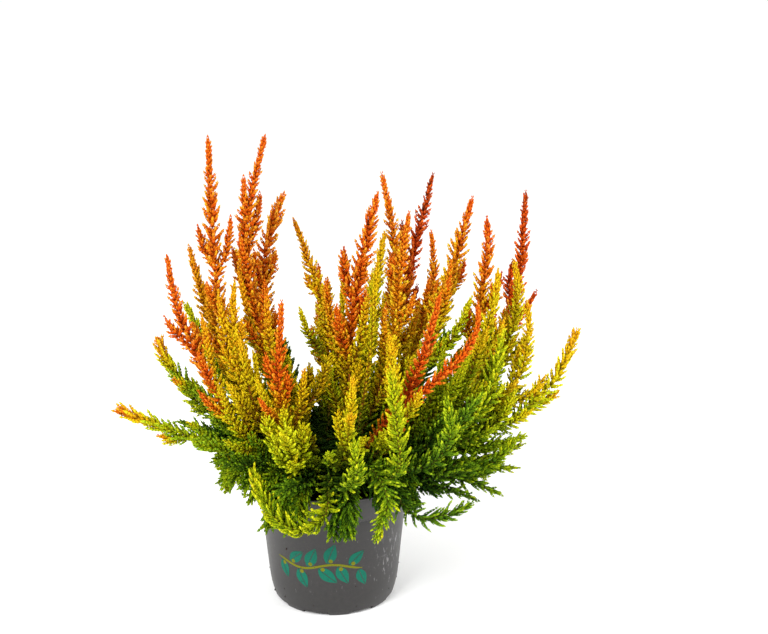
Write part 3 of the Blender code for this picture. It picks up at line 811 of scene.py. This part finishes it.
def leaf_surface(name):
    """Heather's scale leaves: waxy and pale at their tips, as new growth and with a painted highlight, and
    dark with painted shade where they meet the stem.

    The map's first axis is ripeness and its second is depth, from stem to leaf tip.
    """
    material, tree, shader = new_surface(name)
    where = add(tree, "UVMap", {"uv_map": "OFBake"}).outputs[0]
    along, depth, _ = add(tree, "SeparateXYZ", i0=where).outputs
    patches = add(tree, "TexNoise", {"noise_dimensions": "2D", "Scale": 34.0, "Detail": 2.0}, Vector=where)
    drift = add(tree, "MapRange", {"From Min": 0.3, "From Max": 0.7, "To Min": -RIPENESS_DRIFT,
                                   "To Max": RIPENESS_DRIFT}, Value=patches.outputs[0])
    ripe = add(tree, "Math", {"operation": "ADD", "use_clamp": True},
               i0=along, i1=drift.outputs[0]).outputs[0]
    ramps = [add(tree, "ValToRGB", i0=ripe) for _ in range(4)]
    for ramp, colours in zip(ramps, (SHADE_COLOURS, BODY_COLOURS, FRESH_AND_HIGHLIT_COLOURS)):
        set_stops(ramp, tuple(zip(RIPE_PLACES, colours)))
    set_stops(ramps[3], BARK_STOPS)
    shade, body, fresh_and_highlit, bark = (ramp.outputs[0] for ramp in ramps)
    out_of_shade = add(tree, "MapRange", {"interpolation_type": "SMOOTHSTEP", "From Min": 0.12,
                                          "From Max": 0.5}, Value=depth)
    to_the_tip = add(tree, "MapRange", {"interpolation_type": "SMOOTHSTEP", "From Min": 0.55,
                                        "From Max": 0.98}, Value=depth)
    leafy = add(tree, "MapRange", {"From Min": 0.08, "From Max": LEAF_TONE}, Value=depth)
    # Painted shade near the stem gives way to the body colour, then to the pale tips with their painted
    # highlight.
    colour = add(tree, "Mix", {"data_type": "RGBA"}, i0=out_of_shade.outputs[0], i6=shade, i7=body)
    colour = add(tree, "Mix", {"data_type": "RGBA"}, i0=to_the_tip.outputs[0], i6=colour.outputs[2], i7=fresh_and_highlit)
    colour = add(tree, "Mix", {"data_type": "RGBA"}, i0=leafy.outputs[0], i6=bark, i7=colour.outputs[2])
    wax = add(tree, "MapRange", {"From Min": 0.1, "From Max": 0.9, "To Min": 0.85, "To Max": 0.6},
              Value=depth)
    link_surface(tree, shader, colour=colour.outputs[2], roughness=wax.outputs[0])
    shader.inputs["IOR"].default_value = 1.4
    shader.inputs["Specular IOR Level"].default_value = 0.12
    return material


def pot_surface():
    """Thermoformed recycled plastic: a satin taupe grey with faint flecks, scuffed pale where pots rub, with
    a band of painted shade under the rim's step.
    """
    material, tree, shader = new_surface("thermoformed_recycled_plastic")
    where = add(tree, "TexCoord").outputs["Object"]
    flecks = add(tree, "TexNoise", {"Scale": per_mm(2.5), "Detail": 5.0, "Roughness": 0.6}, Vector=where)
    plain = add(tree, "ValToRGB", i0=flecks.outputs[0])
    set_stops(plain, ((0.3, "#1d1b1a"), (0.7, "#272423")))
    squeeze = add(tree, "Mapping", {"Scale": (1.0, 1.0, 0.35)}, Vector=where)
    streaks = add(tree, "TexNoise", {"Scale": per_mm(2.2), "Detail": 6.0, "Roughness": 0.7},
                  Vector=squeeze.outputs[0])
    rubbed = add(tree, "VectorMath", {"operation": "DISTANCE", 1: RUBBED_PLACE}, i0=where)
    near = add(tree, "MapRange", {"From Min": RUBBED_REACH[0], "From Max": RUBBED_REACH[1], "To Min": 0.11,
                                  "To Max": 0.0}, Value=rubbed.outputs["Value"])
    level = add(tree, "Math", {"operation": "ADD"}, i0=streaks.outputs[0], i1=near.outputs[0])
    scuff = add(tree, "MapRange", {"From Min": 0.64, "From Max": 0.76}, Value=level.outputs[0])
    colour = add(tree, "Mix", {"data_type": "RGBA", 7: linear("#8d8a8c")},
                 i0=scuff.outputs[0], i6=plain.outputs[0])
    # A band of painted shade just under the rim's step, darkest from about 64 to 66 mm up.
    height = add(tree, "SeparateXYZ", i0=where).outputs[2]
    fold = add(tree, "MapRange", {"From Min": RIM_STEP_SHADE_HEIGHT[0], "From Max": RIM_STEP_SHADE_HEIGHT[1]}, Value=height)
    painted_rim_shade = add(tree, "ValToRGB", i0=fold.outputs[0])
    set_stops(painted_rim_shade, ((0.0, "#ffffff"), (0.38, "#e0dcd8"), (0.58, "#6e6460"), (0.7, "#6e6460"),
                      (0.76, "#ffffff")))
    rim_shaded = add(tree, "Mix", {"data_type": "RGBA", "blend_type": "MULTIPLY", "Factor": 1.0},
                 i6=colour.outputs[2], i7=painted_rim_shade.outputs[0])
    satin = add(tree, "MapRange", {"To Min": 0.34, "To Max": 0.5}, Value=flecks.outputs[0])
    grain = add(tree, "TexNoise", {"Scale": per_mm(0.7), "Detail": 2.0}, Vector=where)
    relief = add(tree, "Bump", {"Strength": 0.25, "Distance": 0.05 * MM}, Height=grain.outputs[0])
    link_surface(tree, shader, colour=rim_shaded.outputs[2], roughness=satin.outputs[0], relief=relief.outputs[0])
    shader.inputs["IOR"].default_value = 1.49
    return material


def grainy_surface(name, noise, stops, roughness, relief):
    """A surface whose colour, roughness and relief follow one noise of a real grain.

    noise is the grain in millimetres, detail and coarseness; relief is strength and depth in millimetres.
    """
    material, tree, shader = new_surface(name)
    where = add(tree, "TexCoord").outputs["Object"]
    grain, detail, coarseness = noise
    mottle = add(tree, "TexNoise", {"Scale": per_mm(grain), "Detail": detail, "Roughness": coarseness},
                 Vector=where)
    colour = add(tree, "ValToRGB", i0=mottle.outputs[0])
    set_stops(colour, stops)
    dull = add(tree, "MapRange", {"To Min": roughness[0], "To Max": roughness[1]}, Value=mottle.outputs[0])
    bump = add(tree, "Bump", {"Strength": relief[0], "Distance": relief[1] * MM}, Height=mottle.outputs[0])
    link_surface(tree, shader, colour=colour.outputs[0], roughness=dull.outputs[0], relief=bump.outputs[0])
    return material, shader


def ink_surface(name, plain, worn):
    """Screen-printed ink: flat and a little dry, with thin patches where it is worn."""
    stops = ((0.3, worn), (0.42, plain))
    material, shader = grainy_surface(name, (1.6, 5.0, 0.65), stops, (0.75, 0.6), (0.2, 0.03))
    shader.inputs["Specular IOR Level"].default_value = 0.2
    return material


def compost_surface():
    """Moist peat compost: crumbly, nearly black brown, with paler fibres."""
    stops = ((0.32, "#120c08"), (0.55, "#2c1e14"), (0.72, "#5a4230"))
    return grainy_surface("moist_peat_compost", (1.4, 6.0, 0.7), stops, (0.75, 1.0), (0.9, 0.6))[0]


def wood_surface():
    """Heather bark: thin, flaking, reddish brown over greyer strips."""
    stops = ((0.3, "#26140c"), (0.5, "#58341f"), (0.7, "#8a6a50"))
    return grainy_surface("flaking_heather_bark", (2.0, 6.0, 0.65), stops, (0.7, 0.95), (0.8, 0.5))[0]


# Pot

def moved_inwards(profile, depth):
    """Shift an outline that runs outwards and up from the axis by depth, to its inner side."""
    points = np.array(profile)
    steps = np.diff(points, axis=0)
    normals = np.column_stack((-steps[:, 1], steps[:, 0])) / np.hypot(*steps.T)[:, None]
    corner_normals = np.vstack((normals[:1], normals[:-1] + normals[1:], normals[-1:]))
    corner_normals /= np.hypot(*corner_normals.T)[:, None]
    sharpness = np.sum(corner_normals * np.vstack((normals[:1], normals)), axis=1)
    moved = points + depth * corner_normals / sharpness[:, None]
    return [(max(radius, 0.0), height) for radius, height in moved.tolist()]


def pot_outside():
    """The pot's outer side, from the middle of its underside to the top of its rim."""
    return [
        (0.0, 0.0),
        (PAD_RADIUS, 0.0),
        (PAD_RADIUS + BASE_RECESS, BASE_RECESS),
        (FOOT_INNER_RADIUS - BASE_RECESS, BASE_RECESS),
        (FOOT_INNER_RADIUS, 0.0),
        (FOOT_RADIUS, 0.0),
        *((FOOT_RADIUS + out, height) for out, height in HEEL_CURVE),
        (HEEL_RADIUS, HEEL_HEIGHT),
        (NECK_RADIUS, NECK_HEIGHT),
        (NECK_RADIUS + STEP_ROUNDING, RIM_FOOT_HEIGHT - STEP_ROUNDING),
        (RIM_FOOT_RADIUS - STEP_ROUNDING, RIM_FOOT_HEIGHT - 0.5 * STEP_ROUNDING),
        (RIM_FOOT_RADIUS, RIM_FOOT_HEIGHT + 0.5 * STEP_ROUNDING),
        (RIM_RADIUS - LIP_BACK, POT_HEIGHT - 1.5 * LIP_HEIGHT),
    ]


def pot_lip():
    """The rolled bead round the pot's mouth, from its outer side over to the inner."""
    bead = 0.5 * LIP_HEIGHT
    radius, height = RIM_RADIUS + RIM_LIP - bead, POT_HEIGHT - bead
    angles = [math.pi * (index / LIP_STEPS - LIP_START) for index in range(LIP_STEPS + 1)]
    return [(radius + bead * math.cos(angle), height + bead * math.sin(angle)) for angle in angles]


def turned(name, outline, steps):
    """Spin an outline, given as radius and height, about the Z axis."""
    shape = bmesh.new()
    points = [shape.verts.new((radius * MM, 0.0, height * MM)) for radius, height in outline]
    edges = [shape.edges.new(pair) for pair in zip(points, points[1:])]
    bmesh.ops.spin(shape, geom=points + edges, cent=(0, 0, 0), axis=(0, 0, 1), angle=math.tau, steps=steps,
                   use_merge=True)
    bmesh.ops.remove_doubles(shape, verts=shape.verts, dist=0.01 * MM)
    bmesh.ops.recalc_face_normals(shape, faces=shape.faces)
    return put(name, mesh_from(shape, name))


def notch_cutters():
    """Blocks at the drain notches through the foot ring."""
    depth = NOTCH_REACH - FOOT_INNER_RADIUS
    middle = 0.5 * (FOOT_INNER_RADIUS + NOTCH_REACH)
    shape = bmesh.new()
    for index in range(NOTCH_COUNT):
        angle = math.radians(NOTCH_FIRST_ANGLE + 360.0 / NOTCH_COUNT * index)
        cube = bmesh.ops.create_cube(shape, size=MM)["verts"]
        bmesh.ops.scale(shape, verts=cube, vec=(NOTCH_WIDTH, depth, 2.0 * BASE_RECESS))
        bmesh.ops.translate(shape, verts=cube, vec=(0.0, -middle * MM, 0.0))
        bmesh.ops.rotate(shape, verts=cube, cent=(0, 0, 0), matrix=Matrix.Rotation(angle, 3, "Z"))
    return put("notches", mesh_from(shape, "notches"))


def make_pot():
    """The pot's thin shell with its drain notches cut, in the place of its solid."""
    outline = pot_outside() + pot_lip() + moved_inwards(pot_outside(), POT_WALL)[::-1]
    pot = turned("pot_shell", outline, POT_STEPS)
    cutters = notch_cutters()
    cut = pot.modifiers.new("notches", "BOOLEAN")
    cut.operation = "DIFFERENCE"
    cut.solver = "EXACT"
    cut.object = cutters
    carved = bpy.data.meshes.new_from_object(pot.evaluated_get(bpy.context.evaluated_depsgraph_get()))
    pot.modifiers.clear()
    pot.data = carved
    bpy.data.objects.remove(cutters)
    carved.materials.clear()
    carved.materials.append(pot_surface())
    carved.shade_smooth()
    carved.set_sharp_from_angle(angle=CRISP_ANGLE)
    stand_for(pot, "pot")


def on_wall(along, height, bearing):
    """Places on the pot's wall, from a distance along it and a height, just proud of the plastic."""
    radius = np.interp(height, (HEEL_HEIGHT, NECK_HEIGHT), (HEEL_RADIUS, NECK_RADIUS))
    angle = math.radians(bearing) + along / radius
    return around(radius + INK_THICKNESS, angle, height)


def ink_strip(edge, other, bearing):
    """A printed strip between two lines, each a list of places along the wall and heights."""
    count = len(edge)
    places = np.vstack((on_wall(*edge.T, bearing), on_wall(*other.T, bearing)))
    low = np.arange(count - 1)
    first = np.stack((low, low + 1, low + 1 + count), axis=1)
    second = np.stack((low, low + 1 + count, low + count), axis=1)
    return places, np.vstack((first, second))


def vine_leaf(foot, slope, side, size, bearing):
    """The two halves of a printed leaf, with its rib left bare between them."""
    lean = math.radians(VINE_LEAN) * side
    way = np.array((slope[0] * math.cos(lean) - slope[1] * math.sin(lean),
                    slope[0] * math.sin(lean) + slope[1] * math.cos(lean)))
    across = np.array((-way[1], way[0]))
    reach = np.linspace(0.0, 1.0, 13)[:, None]
    rib = foot + way * (VINE_STALK + size * reach) + across * (0.8 * side * reach * (1.0 - reach))
    edge = np.maximum(VINE_BELLY * size * np.sin(math.pi * reach**0.8), VINE_RIB)
    return [ink_strip(rib - across * VINE_RIB, rib - across * edge, bearing),
            ink_strip(rib + across * edge, rib + across * VINE_RIB, bearing)]


def vine_berry(middle, bearing):
    """A round printed berry."""
    turn = np.linspace(0.0, math.pi, 11)[:, None]
    lower = middle + VINE_BERRY * np.hstack((-np.cos(turn), -np.sin(turn)))
    return ink_strip(lower, middle + VINE_BERRY * np.hstack((-np.cos(turn), np.sin(turn))), bearing)


def vine(bearing):
    """A leafy vine printed on the wall: its stem and berries in one ink, its leaves in another."""
    along = np.linspace(-0.5 * VINE_LENGTH, 0.5 * VINE_LENGTH, 97)
    phase = along * math.tau / VINE_WAVE
    stem = np.column_stack((along, VINE_HEIGHT + VINE_SWING * np.sin(phase)))
    slope = unit(np.column_stack((np.ones(len(along)), VINE_SWING * math.tau / VINE_WAVE * np.cos(phase))))
    normal = np.column_stack((-slope[:, 1], slope[:, 0]))
    thinned = np.interp(np.abs(along), (0.4 * VINE_LENGTH, 0.5 * VINE_LENGTH), (1.0, 0.3))
    half = 0.5 * VINE_STEM * thinned[:, None]
    stems = [ink_strip(stem - normal * half, stem + normal * half, bearing)]
    leaves = []
    marks = np.linspace(5, len(along) - 6, VINE_LEAVES).astype(int)
    for number, mark in enumerate(marks):
        side = 1.0 if number % 2 else -1.0
        size = VINE_LEAF * (1.0 - 0.18 * abs(along[mark]) / (0.5 * VINE_LENGTH))
        leaves += vine_leaf(stem[mark], slope[mark], side, size, bearing)
        if number < len(marks) - 1:
            beside = (mark + marks[number + 1]) // 2
            stems.append(vine_berry(stem[beside] + normal[beside] * VINE_BERRY * 1.9 * side, bearing))
    return stems, leaves


def make_print():
    """The printed border, on the pot's front and again on its back."""
    stems, leaves = [], []
    for bearing in (VINE_BEARING, VINE_BEARING + 180.0):
        more_stems, more_leaves = vine(bearing)
        stems += more_stems
        leaves += more_leaves
    inks = (("vine_leaf_print", leaves, ink_surface("teal_screen_ink", "#03614d", "#1f3a34")),
            ("vine_stem_print", stems, ink_surface("mustard_screen_ink", "#6b6c06", "#3c3a1e")))
    for name, strips, ink in inks:
        piece = build_piece(name, *joined(strips), ink)
        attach(piece, "root")


def crumbs(name, middles, sizes, squash, rng):
    """Angular lumps of peat, each a jittered icosahedron."""
    shape = bmesh.new()
    bmesh.ops.create_icosphere(shape, subdivisions=1, radius=1.0)
    shape.verts.ensure_lookup_table()
    ball = np.array([vertex.co for vertex in shape.verts])
    corners = np.array([[vertex.index for vertex in face.verts] for face in shape.faces])
    shape.free()
    lumps = ball[None] * rng.uniform(0.6, 1.25, (len(middles), len(ball), 1))
    lumps = lumps * rng.uniform(0.6, 1.3, (len(middles), 1, 3))
    lumps = lumps * 0.5 * sizes[:, None, None] * squash + middles[:, None]
    piece = build_piece(name, *copies(lumps, corners), compost_surface())
    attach(piece, "root")


def make_specks():
    """Splashes of soil that dried on the outside of the pot."""
    rng = np.random.default_rng(SEED)
    bearings = rng.uniform(0.0, math.tau, SPECKS)
    anywhere = rng.uniform(3.5, 60.0, SPECKS // 2)
    near_the_foot = rng.uniform(3.0, 14.0, SPECKS - SPECKS // 2)
    heights = np.concatenate((anywhere, near_the_foot))
    side_radii, side_heights = zip(*(point for point in pot_outside() if point[0] > FOOT_RADIUS))
    radii = np.interp(heights, side_heights, side_radii) + 0.1
    crumbs("soil_specks", around(radii, bearings, heights), rng.uniform(0.4, 1.3, SPECKS), 1.0, rng)


def make_compost():
    """The plug keeps its solid; loose crumbs cover its top."""
    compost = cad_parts["compost"]
    compost.data.materials.clear()
    compost.data.materials.append(compost_surface())
    rng = np.random.default_rng(SEED + 1)
    reach = COMPOST_REACH * np.sqrt(rng.uniform(0.2, 1.0, CRUMBS))
    bearings = rng.uniform(0.0, math.tau, CRUMBS)
    heights = np.interp(reach, (CROWN_RADIUS, COMPOST_REACH), (COMPOST_TOP, COMPOST_EDGE))
    sizes = rng.uniform(0.8, 3.6, CRUMBS)
    crumbs("compost_crumbs", around(reach, bearings, heights), sizes, np.array((1.0, 1.0, 0.75)), rng)


def make_crown():
    """The plant's woody base: a low dome of knuckles where stems once joined."""
    rng = np.random.default_rng(SEED + 2)
    knuckles = rng.uniform(-0.75, 0.75, (CROWN_KNUCKLES, 2)) * CROWN_RADIUS
    reach = CROWN_RADIUS * np.linspace(0.0, 1.0, CROWN_RINGS + 1)[1:, None]
    angle = np.linspace(0.0, math.tau, CROWN_STEPS, endpoint=False)[None]
    across = np.stack((reach * np.cos(angle), reach * np.sin(angle)), axis=2)
    dome = COMPOST_TOP + CROWN_EDGE + (CROWN_RISE - CROWN_EDGE) * (1.0 - (reach / CROWN_RADIUS) ** 2)
    apart = np.linalg.norm(across[:, :, None] - knuckles, axis=3) / KNUCKLE_REACH
    folds = CROWN_FOLD * np.cos(CROWN_FOLDS * angle + 0.25 * reach)
    height = dome + KNUCKLE_RISE * np.exp(-apart**2).sum(axis=2) + folds
    top = np.dstack((across, height)).reshape(-1, 3)
    underside = COMPOST_TOP - 1.0
    foot = np.column_stack((across[-1], np.full(CROWN_STEPS, underside)))
    places = np.vstack((top, foot, [[0.0, 0.0, height[0].mean() + 0.2]], [[0.0, 0.0, underside]]))
    faces = ring_faces(CROWN_RINGS + 1, CROWN_STEPS)[:, ::-1]
    stand_for(build_piece("knuckled_crown", places, faces, wood_surface()), "woody_crown")


# Stage

def make_camera():
    """The camera, at the photograph's viewing angle."""
    data = bpy.data.cameras.new("camera")
    data.lens = CAMERA_LENS
    data.sensor_width = CAMERA_SENSOR
    camera = put("camera", data)
    camera.location = CAMERA_PLACE
    camera.rotation_euler = (math.radians(90.0 - CAMERA_PITCH_DEG), 0.0, 0.0)
    bpy.context.scene.camera = camera


def make_floor():
    """White paper for the pot to stand on."""
    shape = bmesh.new()
    bmesh.ops.create_grid(shape, x_segments=1, y_segments=1, size=FLOOR_REACH)
    mesh = mesh_from(shape, "floor")
    material, _, shader = new_surface("white_sweep_paper")
    shader.inputs["Base Color"].default_value = linear("#fdfdfd")
    shader.inputs["Roughness"].default_value = 0.8
    mesh.materials.append(material)
    put("floor", mesh)


def make_light():
    """A white surround and two soft round lamps, aimed at the plant."""
    world = bpy.data.worlds.new("studio")
    world.use_nodes = True
    background = world.node_tree.nodes["Background"]
    background.inputs[0].default_value = linear("#ffffff")
    background.inputs[1].default_value = SURROUND
    bpy.context.scene.world = world
    for name, (place, size, power) in LAMPS.items():
        data = bpy.data.lights.new(name, "AREA")
        data.shape = "DISK"
        data.size = size
        data.energy = power
        lamp = put(name, data)
        lamp.location = place
        lamp.rotation_euler = (LAMP_AIM - lamp.location).to_track_quat("-Z", "Y").to_euler()
    bpy.context.scene.view_settings.view_transform = "Standard"


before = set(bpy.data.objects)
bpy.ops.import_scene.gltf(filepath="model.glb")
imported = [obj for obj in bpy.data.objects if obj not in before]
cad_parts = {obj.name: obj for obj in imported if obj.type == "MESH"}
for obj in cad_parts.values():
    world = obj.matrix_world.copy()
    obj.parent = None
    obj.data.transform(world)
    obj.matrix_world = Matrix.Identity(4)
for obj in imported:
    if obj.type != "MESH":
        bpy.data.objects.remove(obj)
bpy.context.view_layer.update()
make_camera()
leaf_surfaces = {kind: leaf_surface(tint + "_heather_scale_leaves") for kind, tint in LEAF_TINTS.items()}
make_pot()
make_print()
make_specks()
make_compost()
make_crown()
for number, node in enumerate(sorted(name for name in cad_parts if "_shoot_" in name)):
    grow_shoot(node, number, leaf_surfaces)
make_floor()
make_light()
